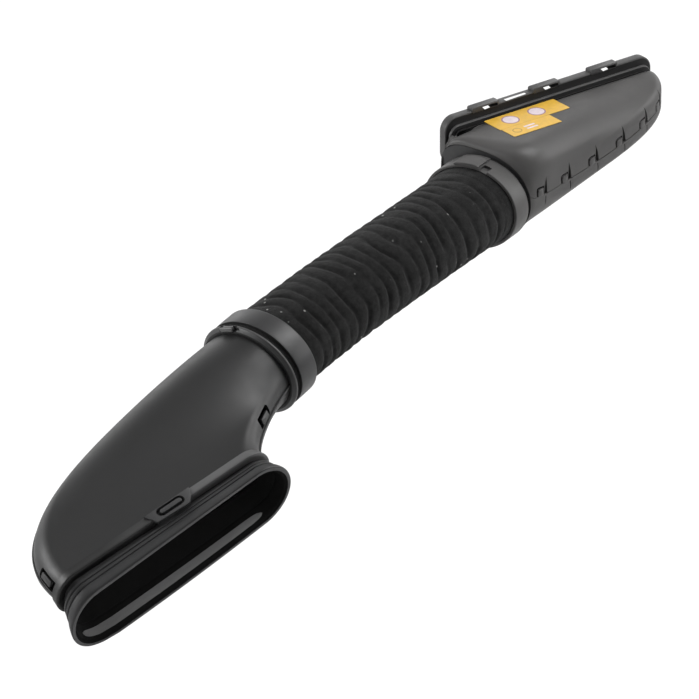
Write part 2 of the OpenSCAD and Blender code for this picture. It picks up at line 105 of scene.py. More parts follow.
# Frame round the inlet
FRAME_AT, FRAME_TURN = (598.3, 99.6), 76.0
FRAME_L, FRAME_H, FRAME_R, FRAME_T = 214.0, 42.0, 12.0, 13.0
FRAME_UP, FRAME_PROUD, FRONT_T, FRAME_WALL = 8.0, 4.0, 6.0, 3.0
FLANGE_T = FRONT_T + 1.8
HOOK_AT, HOOK_L, HOOK_H = (65.0, 2.0, -58.0), 28.0, 2.8
HOLE_L, HOLE_W, SLOT_AT, SLOT_L, SLOT_W = 6.2, 2.4, 33.5, 19.0, 1.8

# Labels
LABEL_SIDE, LABEL_BACK = 37.1, 26.4
LABEL_L, LABEL_W, SHORT_L, SHORT_W, LABEL_T = 72.0, 22.0, 49.0, 17.0, 0.3
DISC_AT, DISC_R, RIM_R = (-17.0, 10.0), 6.5, 7.6

# Camera: where it looks, how high and from which side, and its scale at that point
TARGET = Vector((228.0, 9.6, 95.2))
VIEW_AZIMUTH, VIEW_ELEVATION = 52.0, 25.0
VIEW_DISTANCE, MM_PER_PIXEL, IMAGE = 16000.0, 0.8, 699


def heading(turn, rise):
    t, r = math.radians(turn), math.radians(rise)
    return Vector((math.cos(r) * math.cos(t), math.cos(r) * math.sin(t), math.sin(r)))


def left_of(turn):
    t = math.radians(turn)
    return Vector((-math.sin(t), math.cos(t), 0.0))


class Place:
    """A point with x, y and z directions."""

    def __init__(self, origin, x, z):
        self.o, self.x, self.z = Vector(origin), Vector(x), Vector(z)
        self.y = self.z.cross(self.x)

    def at(self, x, y, z=0.0):
        return self.o + self.x * x + self.y * y + self.z * z


def view_way():
    """Direction in which the camera looks."""
    a, e = math.radians(VIEW_AZIMUTH), math.radians(VIEW_ELEVATION)
    return Vector((math.sin(a) * math.cos(e), math.cos(a) * math.cos(e), -math.sin(e)))


def mouth_place():
    n, side = heading(-MOUTH_TURN, -MOUTH_DROP), left_of(-MOUTH_TURN)
    roll = math.radians(MOUTH_ROLL)
    return Place((0, 0, 0), side * math.cos(roll) + n.cross(side) * math.sin(roll), n)


MOUTH = mouth_place()


def throat_at(k):
    """Place of the seal's section a share k of the way from the lip to the elbow's end."""
    roll = math.radians(THROAT_ROLL * k)
    x = MOUTH.x * math.cos(roll) - MOUTH.z.cross(MOUTH.x) * math.sin(roll)
    return Place(MOUTH.at(0, THROAT_UP * k), x, MOUTH.z)


THROAT = throat_at(1)
NECK = Place(NECK_AT, left_of(NECK_TURN), heading(NECK_TURN, NECK_RISE))
INLET = Place(INLET_AT, left_of(INLET_TURN), heading(INLET_TURN, 0))
FRAME_Z = TOP_Z + FRAME_UP - FRAME_H / 2
FRONT = Place((*FRAME_AT, FRAME_Z), left_of(FRAME_TURN), heading(FRAME_TURN, 0))
SEAL_T = LIP_T + FOLD_N * FOLD_PITCH
SEAL_BACK = -FOLD_D - SEAL_WALL
ELBOW_END = -SEAL_T - CARRIER_T / 2
NECK_W, NECK_H = HOSE_W - 4, HOSE_H - 4


# Outlines. u is the share of the outline from the middle of its right end, upwards first
def oval(w, h, u):
    a = 2 * math.pi * u
    return w / 2 * math.cos(a), h / 2 * math.sin(a)


def round_rect(l, h, r, u):
    u %= 1
    q, f = int(4 * u), 4 * u - int(4 * u)
    quarter = l / 2 + h / 2 - 2 * r + math.pi * r / 2
    d = quarter * (f if q % 2 == 0 else 1 - f)
    sx, sy = l / 2 - r, h / 2 - r
    turn = (d - sy) / r
    if d < sy:
        x, y = l / 2, d
    elif turn < math.pi / 2:
        x, y = sx + r * math.cos(turn), sy + r * math.sin(turn)
    else:
        x, y = sx - (d - sy - math.pi * r / 2), h / 2
    return (-x if q in (1, 2) else x), (-y if q > 1 else y)


def bend(p0, m0, p1, m1, s):
    s2, s3 = s * s, s * s * s
    return (2 * s3 - 3 * s2 + 1) * p0 + (s3 - 2 * s2 + s) * m0 + (3 * s2 - 2 * s3) * p1 + (s3 - s2) * m1


def elbow_surface(u, s):
    ax, ay = oval(NECK_W, NECK_H, u)
    bx, by = round_rect(THROAT_L, THROAT_H, THROAT_H / 2 - 0.01, u)
    p0, p1 = NECK.at(-ax, ay), THROAT.at(bx, by, ELBOW_END)
    d = (p1 - p0).length
    out = (p0 - NECK.o).normalized()
    inner = math.cos(math.pi * u) ** 2
    return bend(p0, (out * ELBOW_FLARE - NECK.z) * d * ELBOW_REACH * (1 - ELBOW_EASE * inner),
                p1, MOUTH.z * d * ELBOW_SWEEP * (1 - MOUTH_EASE * inner), s)


BODY_START = BAND_L + BODY_GAP + BAND_BACK
BODY_SIDE = BODY_W / 2 - NECK_W / 2 + FIT
BODY_UP = TOP_Z - INLET_AT[2] - BODY_H / 2
BODY_END_L = FRAME_L - 2 * FRAME_PROUD
BODY_END_H = FRAME_H - FRAME_UP - FRAME_PROUD
BODY_END_UP = TOP_Z - BODY_END_H / 2 - FRAME_Z
OVAL_W, OVAL_H = NECK_W + 6, NECK_H + 6


def body_front(u, share):
    """Outline of the body's front: share 0 is the body's own, 1 is rounded down to an oval."""
    ax, ay = round_rect(BODY_W, BODY_H, BODY_R, u)
    ax, ay = ax + BODY_SIDE, ay + BODY_UP
    ox, oy = oval(OVAL_W, OVAL_H, u + OVAL_TURN * math.cos(2 * math.pi * u))
    k = share * (1 - math.sin(math.pi * u) ** 6)
    return ax + (ox - ax) * k, ay + (oy - ay) * k


def snorkel_surface(u, s):
    turned = math.cos(math.pi * u)
    ax, ay = body_front(u, 1 - math.sqrt(1 - (1 - min(s / FRONT_ROUND, 1)) ** 2))
    bx, by = round_rect(BODY_END_L, BODY_END_H, FRAME_R - FRAME_PROUD, u + SEAM_LIFT * turned ** 2)
    p0 = INLET.at(-ax, ay, BODY_START)
    p1 = FRONT.at(-bx, by + BODY_END_UP, -FRAME_T - FIT)
    d = (p1 - p0).length * abs(turned)
    return bend(p0, INLET.z * d * SNORKEL_REACH, p1, FRONT.z * d * SNORKEL_SWEEP, s)


def surface_place(f, u, s, side):
    """Place on a lofted surface: x runs along it, y round it and z out of it."""
    s0, s1 = max(s - 0.01, 0), min(s + 0.01, 1)
    along = (f(u, s1) - f(u, s0)).normalized()
    around = f(u + 0.002, s) - f(u - 0.002, s)
    return Place(f(u, s), along, along.cross(around).normalized() * side)


# Mesh parts: each is a list of points and a list of faces
SHELL_ACROSS, SHELL_ALONG = 110, 84
EDGE_STEPS = (0.0, 0.15, 0.4, 0.8, 1.4, 2.4, 3.4, 3.8, 4.2, 5.0, 6.5)


def joined(*parts):
    points, faces = [], []
    for p, f in parts:
        k = len(points)
        points += p
        faces += [tuple(i + k for i in face) for face in f]
    return points, faces


def grid(rows, close_around=False, close_along=False):
    n, m = len(rows[0]), len(rows)
    faces = []
    for i in range(m if close_along else m - 1):
        a, b = i * n, (i + 1) % m * n
        for j in range(n if close_around else n - 1):
            k = (j + 1) % n
            faces.append((a + j, a + k, b + k, b + j))
    return [p for row in rows for p in row], faces


def rounded(corners, steps=4):
    """Closed loop through (z, out, radius) corners, each corner rounded."""
    loop, n = [], len(corners)
    for i, (z, t, r) in enumerate(corners):
        c = Vector((z, t))
        a, b = Vector(corners[i - 1][:2]) - c, Vector(corners[(i + 1) % n][:2]) - c
        ra, rb = min(r, a.length * 0.48), min(r, b.length * 0.48)
        if r <= 0:
            loop.append(c)
            continue
        pa, pb = c + a.normalized() * ra, c + b.normalized() * rb
        for k in range(steps + 1):
            w = k / steps
            loop.append(pa * (1 - w) ** 2 + c * 2 * w * (1 - w) + pb * w ** 2)
    return loop


def ring(place, line, loop, count=260):
    """Ring whose section is a loop of (z, out) points, swept round line(out, u, z)."""
    rows = []
    for i in range(count):
        row = []
        for z, t in loop:
            x, y = line(t, i / count, z)
            row.append((place(z) if callable(place) else place).at(x, y, z))
        rows.append(row)
    return grid(rows, close_around=True, close_along=True)


def slab(place, outline, z0, z1, bevel=0.0):
    """Upright prism over a closed 2D outline, with bevelled rims."""
    n = len(outline)
    cx, cy = sum(p[0] for p in outline) / n, sum(p[1] for p in outline) / n

    def level(z, inset):
        k = []
        for x, y in outline:
            d = math.hypot(x - cx, y - cy)
            q = max(d - inset, 0) / d if d > 0 else 1
            k.append(place.at(cx + (x - cx) * q, cy + (y - cy) * q, z))
        return k

    if bevel:
        half = bevel * 0.3
        rows = [level(z0, bevel), level(z0 + half, half), level(z0 + bevel, 0),
                level(z1 - bevel, 0), level(z1 - half, half), level(z1, bevel)]
    else:
        rows = [level(z0, 0), level(z1, 0)]
    points, faces = grid(rows, close_around=True)
    last = (len(rows) - 1) * n
    faces.append(tuple(range(n))[::-1])
    faces.append(tuple(last + j for j in range(n)))
    return points, faces


def box_outline(w, h, r=0.0, at=(0.0, 0.0), count=5):
    """Rectangle with rounded corners, as a list of 2D points."""
    points = []
    for cx, cy, a0 in ((1, 1, 0), (-1, 1, 90), (-1, -1, 180), (1, -1, 270)):
        for k in range(count if r else 1):
            a = math.radians(a0 + (90 * k / (count - 1) if r else 45))
            x, y = cx * (w / 2 - r) + r * math.cos(a), cy * (h / 2 - r) + r * math.sin(a)
            points.append((at[0] + (x if r else cx * w / 2), at[1] + (y if r else cy * h / 2)))
    return points


# Materials
def node_tree(name):
    m = bpy.data.materials.new(name)
    m.use_nodes = True
    t = m.node_tree
    return m, t, t.nodes["Principled BSDF"]


def add(tree, kind, links=None, **values):
    n = tree.nodes.new(kind)
    for key, value in values.items():
        if key in n.inputs.keys():
            n.inputs[key].default_value = value
        else:
            setattr(n, key, value)
    for key, source in (links or {}).items():
        tree.links.new(source, n.inputs[key])
    return n


def ramp(tree, source, stops):
    r = add(tree, "ShaderNodeValToRGB", {"Fac": source})
    while len(r.color_ramp.elements) < len(stops):
        r.color_ramp.elements.new(0.5)
    for e, (at, value) in zip(r.color_ramp.elements, stops):
        e.position = at
        e.color = (*value, 1) if hasattr(value, "__len__") else (value, value, value, 1)
    return r.outputs["Color"]


def plastic(name, colour, rough, grain=900.0, grain_h=0.00003, mottle=0.12, specular=0.5, painted_light=None):
    """Moulded plastic: faint cloudy colour, a fine eroded grain and uneven gloss.

    painted_light holds shares of the colour from the mouth's left end to its right one: painted shade on the
    left and a painted highlight on the right.
    """
    m, t, b = node_tree(name)
    co = add(t, "ShaderNodeTexCoord").outputs["Object"]
    cloud = add(t, "ShaderNodeTexNoise", {"Vector": co}, Scale=22.0, Detail=5.0, Roughness=0.6)
    dark, light = [c * (1 - mottle) for c in colour], [c * (1 + mottle) for c in colour]
    base = ramp(t, cloud.outputs["Fac"], [(0.3, dark), (0.7, light)])
    # Painted light and shade: the colour is scaled along the mouth's width, darker to the left.
    if painted_light:
        across = add(t, "ShaderNodeVectorMath", {0: co}, operation="DOT_PRODUCT")
        across.inputs[1].default_value = MOUTH.x / (MOUTH_L * MM)
        share = add(t, "ShaderNodeMath", {0: across.outputs["Value"]}, operation="ADD")
        share.inputs[1].default_value = 0.5
        painted_base = add(t, "ShaderNodeMix", {"A": base, "B": ramp(t, share.outputs[0], painted_light)},
                   data_type="RGBA", blend_type="MULTIPLY")
        painted_base.inputs["Factor"].default_value = 1.0
        base = painted_base.outputs["Result"]
    t.links.new(base, b.inputs["Base Color"])
    fine = add(t, "ShaderNodeTexNoise", {"Vector": co}, Scale=grain, Detail=3.0, Roughness=0.6)
    scuff = add(t, "ShaderNodeTexNoise", {"Vector": co}, Scale=60.0, Detail=6.0, Roughness=0.7)
    gloss = ramp(t, scuff.outputs["Fac"], [(0.3, rough - 0.05), (0.75, rough + 0.07)])
    t.links.new(gloss, b.inputs["Roughness"])
    bump = add(t, "ShaderNodeBump", {"Height": fine.outputs["Fac"]}, Strength=0.6, Distance=grain_h)
    t.links.new(bump.outputs["Normal"], b.inputs["Normal"])
    b.inputs["Specular IOR Level"].default_value = specular
    return m


def felt(name, colour):
    """Felted hose fabric: fibre bump, patchy nap and pale specks of lint."""
    m, t, b = node_tree(name)
    co = add(t, "ShaderNodeTexCoord").outputs["Object"]
    nap = add(t, "ShaderNodeTexNoise", {"Vector": co}, Scale=150.0, Detail=8.0, Roughness=0.8)
    patch = add(t, "ShaderNodeTexNoise", {"Vector": co}, Scale=28.0, Detail=4.0, Roughness=0.6)
    dark, light = [c * 0.5 for c in colour], [c * 1.9 for c in colour]
    base = add(t, "ShaderNodeMix", data_type="RGBA", blend_type="MULTIPLY")
    base.inputs["Factor"].default_value = 0.65
    t.links.new(ramp(t, nap.outputs["Fac"], [(0.38, dark), (0.66, light)]), base.inputs["A"])
    t.links.new(ramp(t, patch.outputs["Fac"], [(0.35, 0.62), (0.65, 1.0)]), base.inputs["B"])
    cells = add(t, "ShaderNodeTexVoronoi", {"Vector": co}, Scale=105.0, Randomness=1.0)
    spot = ramp(t, cells.outputs["Distance"], [(0.07, 1.0), (0.13, 0.0)])
    few = add(t, "ShaderNodeTexNoise", {"Vector": co}, Scale=40.0, Detail=2.0)
    where = ramp(t, few.outputs["Fac"], [(0.52, 0.0), (0.58, 1.0)])
    lint = add(t, "ShaderNodeMath", {0: spot, 1: where}, operation="MULTIPLY")
    mix = add(t, "ShaderNodeMix", {"Factor": lint.outputs[0]}, data_type="RGBA")
    t.links.new(base.outputs["Result"], mix.inputs["A"])
    mix.inputs["B"].default_value = (0.40, 0.40, 0.39, 1)
    t.links.new(mix.outputs["Result"], b.inputs["Base Color"])
    t.links.new(ramp(t, nap.outputs["Fac"], [(0.3, 0.86), (0.7, 0.98)]), b.inputs["Roughness"])
    fibre = add(t, "ShaderNodeTexNoise", {"Vector": co}, Scale=700.0, Detail=6.0, Roughness=0.8)
    first = add(t, "ShaderNodeBump", {"Height": fibre.outputs["Fac"]}, Strength=0.8, Distance=0.0003)
    second = add(t, "ShaderNodeBump", {"Height": nap.outputs["Fac"], "Normal": first.outputs["Normal"]},
                 Strength=0.7, Distance=0.0009)
    t.links.new(second.outputs["Normal"], b.inputs["Normal"])
    b.inputs["Specular IOR Level"].default_value = 0.15
    b.inputs["Sheen Weight"].default_value = 0.06
    b.inputs["Sheen Roughness"].default_value = 0.5
    return m


def film(name, colour, rough=0.35):
    """Printed film: even colour with a slight print grain and a soft gloss."""
    m, t, b = node_tree(name)
    co = add(t, "ShaderNodeTexCoord").outputs["Object"]
    grain = add(t, "ShaderNodeTexNoise", {"Vector": co}, Scale=260.0, Detail=4.0)
    dark, light = [c * 0.93 for c in colour], [min(c * 1.05, 1.0) for c in colour]
    t.links.new(ramp(t, grain.outputs["Fac"], [(0.35, dark), (0.65, light)]), b.inputs["Base Color"])
    gloss = ramp(t, grain.outputs["Fac"], [(0.3, rough - 0.04), (0.7, rough + 0.06)])
    t.links.new(gloss, b.inputs["Roughness"])
    return m


SEAL_RUBBER = plastic("seal_rubber", (0.025, 0.025, 0.026), 0.50, grain=500.0, mottle=0.18, specular=0.45)
# Paler copy of the seal rubber: a painted highlight on the lip's front.
SEAL_LIP_PAINTED_HIGHLIGHT = plastic("seal_lip_painted_highlight", (0.075, 0.075, 0.077), 0.50, grain=500.0, mottle=0.18, specular=0.45)
CARRIER_GREY_AND_PLATE_SHADE = plastic("carrier_plastic", (0.040, 0.040, 0.041), 0.42)
# The carrier band's colour is painted light and shade: dark to the left, a painted highlight to the right.
CARRIER_BAND = plastic("carrier_band", (0.115, 0.115, 0.116), 0.46, painted_light=[
    (0.05, 0.02), (0.25, 0.03), (0.37, 0.20), (0.53, 0.25), (0.57, 0.7), (0.9, 0.85)])
ELBOW_BLACK = plastic("elbow_plastic", (0.010, 0.010, 0.0103), 0.44, grain=700.0)
COLLAR_BLACK = plastic("collar_plastic", (0.028, 0.028, 0.029), 0.40)
SNORKEL_GREY = plastic("snorkel_plastic", (0.066, 0.064, 0.063), 0.46)
FRAME_GREY = plastic("frame_plastic", (0.064, 0.063, 0.063), 0.46)
# Paler copy of the collar plastic: a painted highlight on the rib's crest.
CREST_PAINTED_HIGHLIGHT = plastic("collar_crest_painted_highlight", (0.062, 0.062, 0.063), 0.40)
HOSE_FELT = felt("hose_fabric", (0.0135, 0.0135, 0.0135))
# Near-black painted shade for insides that lie in shadow.
INSIDE_PAINTED_SHADE = plastic("inside_painted_shade", (0.0022, 0.0022, 0.0022), 0.75, specular=0.12)
# Dark painted shade for grooves and gaps.
GAP_PAINTED_SHADE = plastic("gap_painted_shade", (0.014, 0.014, 0.014), 0.6, specular=0.3)
# Pale grey for the collar's latch, and as a painted highlight on the seal's inner strip.
PALE_GREY_AND_PAINTED_HIGHLIGHT = plastic("pale_grey_and_painted_highlight", (0.13, 0.13, 0.13), 0.55)
LABEL_YELLOW = film("label_yellow", (0.72, 0.43, 0.05))
LABEL_PALE = film("label_pale", (0.72, 0.62, 0.66))
LABEL_VIOLET = film("label_violet", (0.30, 0.16, 0.24))
LABEL_LINE = film("label_line", (0.42, 0.24, 0.04))


def piece(name, part, materials, slot, *nodes, sharp=38.0, choose=None):
    """Makes a mesh piece in metres; choose(face index) picks one of several materials."""
    points, faces = part
    mesh = bpy.data.meshes.new(name)
    mesh.from_pydata([tuple(p * MM) for p in points], [], faces)
    obj = bpy.data.objects.new(name, mesh)
    bpy.context.scene.collection.objects.link(obj)
    for m in materials if isinstance(materials, (list, tuple)) else [materials]:
        mesh.materials.append(m)
    if choose:
        for f in mesh.polygons:
            f.material_index = choose(f.index)
    b = bmesh.new()
    b.from_mesh(mesh)
    bmesh.ops.recalc_face_normals(b, faces=b.faces)
    b.to_mesh(mesh)
    b.free()
    smooth(obj, sharp)
    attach(obj, "root")
    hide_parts(*nodes)
    return obj


def smooth(obj, sharp):
    for f in obj.data.polygons:
        f.use_smooth = True
    obj.data.set_sharp_from_angle(angle=math.radians(sharp))


def cut(obj, cutters, sharp=38.0):
    """Cuts closed parts out of a piece."""
    points, faces = joined(*cutters)
    mesh = bpy.data.meshes.new("cutter")
    mesh.from_pydata([tuple(p * MM) for p in points], [], faces)
    b = bmesh.new()
    b.from_mesh(mesh)
    bmesh.ops.recalc_face_normals(b, faces=b.faces)
    b.to_mesh(mesh)
    b.free()
    tool = bpy.data.objects.new("cutter", mesh)
    bpy.context.scene.collection.objects.link(tool)
    m = obj.modifiers.new("cut", "BOOLEAN")
    m.operation, m.solver, m.object = "DIFFERENCE", "EXACT", tool
    m.use_self = True
    result = bpy.data.meshes.new_from_object(obj.evaluated_get(bpy.context.evaluated_depsgraph_get()))
    obj.modifiers.remove(m)
    obj.data = result
    bpy.data.objects.remove(tool)
    smooth(obj, sharp)


# Pieces
def seal_share(z):
    return min(max(-z / SEAL_T, 0.0), 1.0)


def seal_line(t, u, z):
    """Outline of the seal at z, t outside its own; its lower lip is fuller."""
    k = seal_share(z)
    l = MOUTH_L + (THROAT_L - MOUTH_L) * k + 2 * t
    h = MOUTH_H + (THROAT_H - MOUTH_H) * k + 2 * t
    x, y = round_rect(l, h, h / 2 - 0.01, u)
    if y < 0:
        rise = min(max((x - FULL_FROM) / FULL_RISE, 0.0), 1.0)
        full = (FULL - FULL_TILT * x - FULL_CURVE * x * x) * rise
        y -= max(full, 0.0) * (1 - k) * (2 * y / h) ** 2
    return x, y


def seal():
    """Rubber seal: a rounded lip and a broad flank, two creases, and a deep groove at the carrier."""
    lip = [(0, -LIP_W, 1.2), (0, 0, 2.0), (-4, 0.1, 1.6), (-8.5, -0.9, 1.0)]
    creases = [(-8.7, -1.7, 0.2), (-9.6, -1.7, 0.2), (-9.8, -0.9, 0.4),
               (-12.0, -0.9, 0.4), (-12.2, -1.8, 0.2), (-13.2, -1.8, 0.2), (-13.4, -1.0, 0.4)]
    groove = [(-15.6, -1.0, 0.6), (-15.9, -FOLD_D - 0.8, 0.3), (-SEAL_T, -FOLD_D - 0.8, 0.2)]
    outer = rounded(lip + creases + groove)
    back = SEAL_BACK - 0.2
    inner = rounded([(-SEAL_T, SEAL_BACK - 0.6, 0.2), (-9.8, back, 0.4), (-9.9, SEAL_BACK + 0.4, 0.2),
                     (-9.0, SEAL_BACK + 0.4, 0.2), (-8.9, back, 0.3), (-1.6, back, 0.8),
                     (-0.9, -LIP_W - 0.3, 0.4)])
    loop = outer + inner
    inner_edge, front = 3, 6

    # The seal's inside takes the painted shade; the lip's front the paler rubber, a painted highlight.
    def zone(i):
        j = i % len(loop)
        return 1 if j >= len(outer) - 1 or j < inner_edge else 2 if j < front else 0

    piece("outlet_seal_rubber", ring(lambda z: throat_at(seal_share(z)), seal_line, loop, 320),
          [SEAL_RUBBER, INSIDE_PAINTED_SHADE, SEAL_LIP_PAINTED_HIGHLIGHT], "seal_rubber", "outlet_seal", choose=zone)


def seal_highlight_strip():
    """Pale strip along the lower inside of the mouth, with rounded ends: a painted highlight."""
    rows = []
    for i in range(HIGHLIGHT_STEPS + 1):
        w = i / HIGHLIGHT_STEPS
        half = HIGHLIGHT_HALF * math.sqrt(max(1 - (2 * w - 1) ** 20, 0.02))
        row = []
        for z, t in ((half, -0.1), (0.85 * half, -1.1), (-0.85 * half, -1.1), (-half, -0.1)):
            x, y = seal_line(SEAL_BACK + t, HIGHLIGHT_START + HIGHLIGHT_SPAN * w, HIGHLIGHT_Z + z)
            row.append(throat_at(seal_share(HIGHLIGHT_Z + z)).at(x, y, HIGHLIGHT_Z + z))
        rows.append(row)
    points, faces = grid(rows, close_around=True)
    last = HIGHLIGHT_STEPS * 4
    faces += [(0, 1, 2, 3), (last, last + 1, last + 2, last + 3)]
    piece("outlet_seal_highlight_strip", (points, faces), PALE_GREY_AND_PAINTED_HIGHLIGHT, "seal_rubber", "outlet_seal")


def neck_line(t, u, z):
    return oval(NECK_W + 2 * t, NECK_H + 2 * t, u)


def throat_line(t, u, z):
    return round_rect(THROAT_L + 2 * t, THROAT_H + 2 * t, THROAT_H / 2 + t - 0.01, u)


def carrier():
    """Bevelled band round the elbow's end, with a latch tab and its window."""
    out, deep = CARRIER_PROUD, -ELBOW_WALL - 1.6
    back, stop = -SEAL_T - CARRIER_T, ELBOW_END + 0.3

    def line(t, u, z):
        x, y = throat_line(t, u, z)
        share = min(max((x - BEVEL_FROM) / BEVEL_RISE, 0.0), 1.0)
        if t > 0.9 and z < back + 1:
            x, y = throat_line(t + (out - BEVEL_LEFT - t) * (1 - share), u, z)
        return x, y

    band = rounded([(-SEAL_T, out - 1.8, 0.4), (-SEAL_T - 0.8, out, 0.5), (-SEAL_T - 2.4, out, 0.6),
                    (back, 1.0, 0.3), (back, FIT, 0.2), (stop, FIT, 0.2), (stop, deep, 0.4),
                    (-SEAL_T, deep, 0.4)])
    tab = Place(THROAT.at(TAB_AT, THROAT_H / 2 + out, -SEAL_T), THROAT.x, THROAT.y)
    half = TAB_L / 2
    shape = [(-half - 3, CARRIER_T - 1), (-half, 1.5), (-half + 2, -4), (half - 6, -5.2), (half - 3, -2),
             (half, 1.2), (half + 3, CARRIER_T - 1)]
    window = slab(tab, box_outline(LATCH_L, LATCH_W + 4.2, LATCH_W / 2 + 2, (0, 2.6)), -3.2, 4)
    tongue = slab(tab, box_outline(LATCH_L - 5.5, LATCH_W - 0.6, 2.0, (0.8, 3.2)), -3.2, 0.9, 0.8)
    kind = ("carrier_plastic", "seal_carrier")
    band_piece = piece("seal_carrier_band", ring(THROAT, line, band, 320), CARRIER_BAND, *kind)
    tab_piece = piece("seal_carrier_tab", slab(tab, shape, -1.3, 1.2, 0.35), CARRIER_GREY_AND_PLATE_SHADE, *kind)
    cut(band_piece, [window])
    cut(tab_piece, [window])
    piece("seal_carrier_latch", tongue, CARRIER_GREY_AND_PLATE_SHADE, *kind)


def shell(f, u0, u1, thick, side, offset):
    """Curved wall from u0 to u1 of a lofted surface. offset(x, s, p) raises its outside x mm from a seam."""
    middle_line = [f(u0 + (u1 - u0) * k / 40, 0.5) for k in range(41)]
    length = sum((b - a).length for a, b in zip(middle_line, middle_line[1:]))
    first = [x / length for x in EDGE_STEPS]
    middle = [first[-1] + (1 - 2 * first[-1]) * k / SHELL_ACROSS for k in range(1, SHELL_ACROSS)]
    shares = first + middle + [1 - x for x in reversed(first)]
    outer, inner = [], []
    for i in range(SHELL_ALONG + 1):
        s = i / SHELL_ALONG
        row_out, row_in = [], []
        for w in shares:
            p = surface_place(f, u0 + (u1 - u0) * w, s, side)
            x = min(w, 1 - w) * length
            row_out.append(p.at(0, 0, offset(x, s, p)))
            row_in.append(p.at(0, 0, -thick))
        outer.append(row_out)
        inner.append(row_in)
    n = len(shares)
    points, faces = joined(grid(outer), grid(inner))
    k, last = n * (SHELL_ALONG + 1), SHELL_ALONG * n
    for a, b in ((0, n), (n - 1, 2 * n - 1)):
        faces += [(i * n + a, i * n + b, k + i * n + b, k + i * n + a) for i in range(SHELL_ALONG)]
    for a in (0, last):
        faces += [(a + j, a + j + 1, k + a + j + 1, k + a + j) for j in range(n - 1)]
    return points, faces


def inner_face(i):
    """Material 1, the painted shade, for the faces on a shell's inside."""
    sheet = (SHELL_ACROSS - 1 + 2 * len(EDGE_STEPS) - 1) * SHELL_ALONG
    return 1 if sheet <= i < 2 * sheet else 0


def soft_edge(x, r):
    return -(r - math.sqrt(max(r * r - (r - x) ** 2, 0.0))) if x < r else 0.0


def fade(s, reach=0.12):
    return min(1.0, s / reach, (1 - s) / reach)


def elbow():
    """Two shells, the lower with a raised rim at the seam, two snap windows with tongues, and a spigot."""
    def rim(x, s, p):
        top = 1.0 if x < 3.4 else max(0.0, 1 - (x - 3.4) / 0.8)
        return ELBOW_RIM * fade(s) * top + soft_edge(x, 0.4)

    def plain(x, s, p):
        return soft_edge(x, 0.8)

    # The shells' insides take the near-black painted shade.
    look = ([ELBOW_BLACK, INSIDE_PAINTED_SHADE], "elbow_plastic")
    upper = piece("elbow_upper", shell(elbow_surface, 0.0, 0.5, ELBOW_WALL, -1, plain), *look,
                  "elbow_upper_shell", choose=inner_face)
    piece("elbow_lower", shell(elbow_surface, 0.5, 1.0, ELBOW_WALL, -1, rim), *look,
          "elbow_lower_shell", choose=inner_face)
    windows, tongues = [], []
    for u, s in SNAP_AT:
        p = surface_place(elbow_surface, u, s, -1)
        windows.append(slab(p, box_outline(SNAP_WINDOW_L, SNAP_H + 3, 1.8), -4, 5))
        tongue = box_outline(SNAP_TONGUE_L, SNAP_H - 1.5, 1.2, (0, 0.8))
        tongues.append(slab(p, tongue, -1.6, 0.9, 0.6))
    cut(upper, windows)
    piece("elbow_tongues", joined(*tongues), ELBOW_BLACK, "elbow_plastic", "elbow_lower_shell")
    out, deep = -0.3, -0.3 - ELBOW_WALL
    spigot = rounded([(-1, out, 0), (SPIGOT_L, out, 0.3), (SPIGOT_L, deep, 0.3), (-1, deep, 0)])
    piece("elbow_spigot", ring(NECK, neck_line, spigot, 120), ELBOW_BLACK, "elbow_plastic",
          "elbow_upper_shell", "elbow_lower_shell")


def outlet_collar():
    """Collar with a sloping rib, a deep groove, a plain band and a latch loop at the groove; painted shade
    on its back face and in the groove, and a painted highlight on the rib's crest.
    """
    w, h = HOSE_W + 2 * (FIT + COLLAR_WALL), HOSE_H + 2 * (FIT + COLLAR_WALL)
    to_neck, inside = -(w - NECK_W) / 2 + FIT, -COLLAR_WALL + 0.05
    back, rib = -COLLAR_BACK, RIB_W - COLLAR_BACK
    end = rib + GROOVE_W
    loop = rounded([(back, to_neck, 0.3), (back, -3.0, 0.8), (back + 2.6, RIB_H, 1.0),
                    (rib - 0.4, RIB_H, 0.9), (rib - 0.2, -GROOVE_D, 0.3), (end, -GROOVE_D, 0.3),
                    (end, 0.2, 0.5), (end + 4, 0.3, 2.0), (COLLAR_L - 0.5, 0, 0.9),
                    (COLLAR_L, inside, 0.3), (SPIGOT_L, inside, 0), (SPIGOT_L, to_neck, 0)])
    # The back face and the groove take the painted shade, the rib's crest the painted highlight.
    neck_side, crest, groove, band = 9, 12, 19, 31

    def zone(i):
        j = i % len(loop)
        return 1 if j < neck_side or groove <= j < band else 2 if crest <= j < groove else 0

    def line(t, u, z):
        return oval(w + 2 * t, h + 2 * t, u)

    ring_piece = piece("outlet_collar_ring", ring(NECK, line, loop), [COLLAR_BLACK, GAP_PAINTED_SHADE, CREST_PAINTED_HIGHLIGHT],
                       "collar_plastic", "outlet_collar", choose=zone)
    x, y = oval(w, h, LATCH_AT)
    out = (NECK.x * x / w ** 2 + NECK.y * y / h ** 2).normalized()
    at = Place(NECK.at(x, y, RIB_W / 2 - COLLAR_BACK), NECK.z.cross(out), out)
    cut(ring_piece, [slab(at, box_outline(19, 3.6, 0.8, (0, -0.4)), -3.5, 6),
                     slab(at, box_outline(22, 3.4, 0.6, (0, -6.6)), -2.4, 6),
                     slab(at, box_outline(3, 6, 0.4, (11, -3)), -2.4, 6)])
    tongue = slab(at, box_outline(11, 1.6, 0.7, (0, 0.2)), -2.6, 0.4, 0.3)
    bar = slab(at, box_outline(13, 1.4, 0.6, (0, -3.0)), -2.4, 0.9, 0.4)
    piece("outlet_collar_latch", joined(tongue, bar), PALE_GREY_AND_PAINTED_HIGHLIGHT, "collar_plastic", "outlet_collar")


